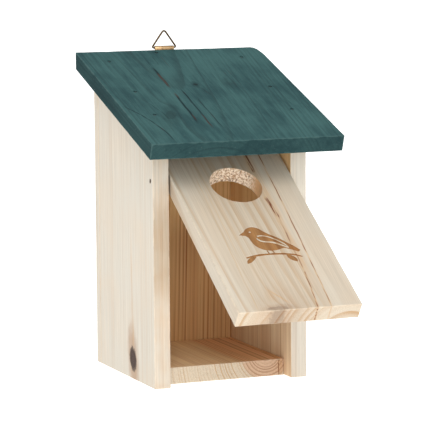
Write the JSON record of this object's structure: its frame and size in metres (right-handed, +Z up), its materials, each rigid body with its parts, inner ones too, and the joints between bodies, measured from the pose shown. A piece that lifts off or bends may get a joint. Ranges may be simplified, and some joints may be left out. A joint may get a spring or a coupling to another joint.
{
  "type": "birdhouse",
  "caption": "Wooden nest box with a sloping stained roof, a round entrance hole in a front board that swings up to clean it, and a wire ring to hang it by.",
  "frame": {"origin": "middle of the standing face: on the underside of the floor, halfway across the box and halfway from its front edges to its back face", "axes": "+Z up, +Y towards the back face that lies against a wall or tree, +X to the right seen from the front; the door is at -Y"},
  "size_m": [0.173, 0.2895, 0.2934],
  "materials": {
    "pine": "planed pine, unfinished, warm and slightly knotty",
    "roof_stain": "matt petrol green stain over visible grain",
    "nail_steel": "dark steel, dull, a little rust",
    "brass": "brass plated, satin, slightly tarnished"
  },
  "bodies": {
    "box": {"back_nail_floor_1": "nail_steel", "back_nail_floor_2": "nail_steel", "back_nail_left_1": "nail_steel", "back_nail_left_2": "nail_steel", "back_nail_left_3": "nail_steel", "back_nail_right_1": "nail_steel", "back_nail_right_2": "nail_steel", "back_nail_right_3": "nail_steel", "back_wall": "pine", "door_pivot_nail_left": "nail_steel", "door_pivot_nail_right": "nail_steel", "floor": "pine", "hanger_nail_left": "brass", "hanger_nail_right": "brass", "hanger_plate": "brass", "left_wall": "pine", "right_wall": "pine", "roof": "roof_stain", "roof_nail_back": "nail_steel", "roof_nail_left_1": "nail_steel", "roof_nail_left_2": "nail_steel", "roof_nail_left_3": "nail_steel", "roof_nail_right_1": "nail_steel", "roof_nail_right_2": "nail_steel", "roof_nail_right_3": "nail_steel"},
    "door": {"door": "pine"},
    "hanger_ring": {"hanger_ring": "brass"}
  },
  "joints": [
    {"name": "door_swing", "type": "hinge", "parent": "box", "child": "door", "pos_m": [0, -0.06525, 0.1755], "axis": [-1, 0, 0], "range_deg": [-57, 50]},
    {"name": "ring_swing", "type": "hinge", "parent": "box", "child": "hanger_ring", "pos_m": [-0.0026, 0.073, 0.27782], "axis": [1, 0, 0], "range_deg": [-150, 100]}
  ]
}
